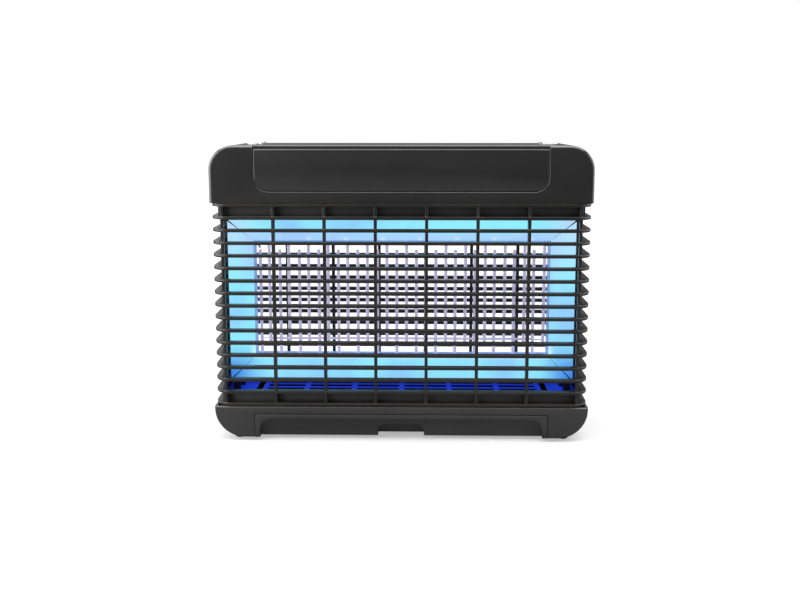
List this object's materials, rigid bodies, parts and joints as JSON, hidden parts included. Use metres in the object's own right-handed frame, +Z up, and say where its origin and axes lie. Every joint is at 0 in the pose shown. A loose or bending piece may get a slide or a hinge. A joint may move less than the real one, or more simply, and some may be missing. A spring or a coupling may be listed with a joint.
{
  "type": "electric bug zapper",
  "caption": "Electric bug zapper with a slatted black cage, lit diffuser hopper, high-voltage comb grid, top housing with hanging rings and a slide-out collection tray.",
  "frame": {"origin": "on the floor under the middle of the object", "axes": "+Z up, front towards -Y, +X to the right seen from the front"},
  "size_m": [0.335, 0.09, 0.2676],
  "materials": {
    "casing_abs": "fine satin moulded black ABS",
    "cage_abs": "smooth semi-gloss moulded black ABS",
    "tray_abs": "satin moulded dark grey ABS",
    "inner_frame": "matt moulded black ABS",
    "rubber": "matt soft black rubber",
    "diffuser": "translucent light-guide plastic glowing cyan-blue",
    "grid_ring_clear": "clear moulded polycarbonate",
    "steel": "bright plated steel",
    "dark_steel": "black oxide steel",
    "circuit_board": "green solder mask",
    "led_strip": "white solder mask with violet-blue diodes",
    "transformer_tape": "amber insulating tape over a ferrite core",
    "capacitor": "blue resin dip",
    "terminal": "off-white nylon",
    "lead_violet": "violet silicone insulation",
    "lead_white": "white silicone insulation"
  },
  "bodies": {
    "casing": {"base_shell": "casing_abs", "lower_frame": "inner_frame", "front_cage": "cage_abs", "rear_cage": "cage_abs", "upper_frame": "inner_frame", "top_housing": "casing_abs", "saddle_cover": "casing_abs", "light_frame": "inner_frame", "grid_ring": "grid_ring_clear", "grid_comb_front": "steel", "grid_comb_rear": "steel", "grid_clip_left": "dark_steel", "grid_clip_right": "dark_steel", "driver_board": "circuit_board", "hv_transformer": "transformer_tape", "hv_capacitor_a": "capacitor", "hv_capacitor_b": "capacitor", "smoothing_capacitor": "capacitor", "terminal_block": "terminal", "power_switch_body": "casing_abs", "cord_gland": "rubber", "hv_lead_front": "lead_white", "hv_lead_rear": "lead_violet", "ring_bracket_left": "steel", "ring_bracket_right": "steel", "foot_front_left": "rubber", "foot_front_right": "rubber", "foot_rear_left": "rubber", "foot_rear_right": "rubber", "base_screw_front_left": "dark_steel", "base_screw_front_right": "dark_steel", "base_screw_rear_left": "dark_steel", "base_screw_rear_right": "dark_steel", "housing_screw_left": "dark_steel", "housing_screw_right": "dark_steel", "saddle_screw_left": "dark_steel", "saddle_screw_right": "dark_steel", "front_diffuser_top": "diffuser", "front_diffuser_bottom": "diffuser", "front_diffuser_left": "diffuser", "front_diffuser_right": "diffuser", "rear_diffuser_top": "diffuser", "rear_diffuser_bottom": "diffuser", "rear_diffuser_left": "diffuser", "rear_diffuser_right": "diffuser", "led_strip_top": "led_strip", "led_strip_bottom": "led_strip", "led_strip_left": "led_strip", "led_strip_right": "led_strip"},
    "tray": {"collection_tray": "tray_abs"},
    "ring_left": {"hanging_ring_left": "steel"},
    "ring_right": {"hanging_ring_right": "steel"},
    "rocker": {"power_switch_rocker": "casing_abs"}
  },
  "joints": [
    {"name": "tray_slide", "type": "slide", "parent": "casing", "child": "tray", "axis": [0, -1, 0], "range_m": [0, 0.07]},
    {"name": "left_ring_hinge", "type": "hinge", "parent": "casing", "child": "ring_left", "pos_m": [-0.126, 0, 0.2656], "axis": [0, 1, 0], "range_deg": [0, 150]},
    {"name": "right_ring_hinge", "type": "hinge", "parent": "casing", "child": "ring_right", "pos_m": [0.126, 0, 0.2656], "axis": [0, -1, 0], "range_deg": [0, 150]},
    {"name": "switch_rocker", "type": "hinge", "parent": "casing", "child": "rocker", "pos_m": [-0.148, 0.0412, 0.2409], "axis": [-1, 0, 0], "range_deg": [0, 18]}
  ]
}
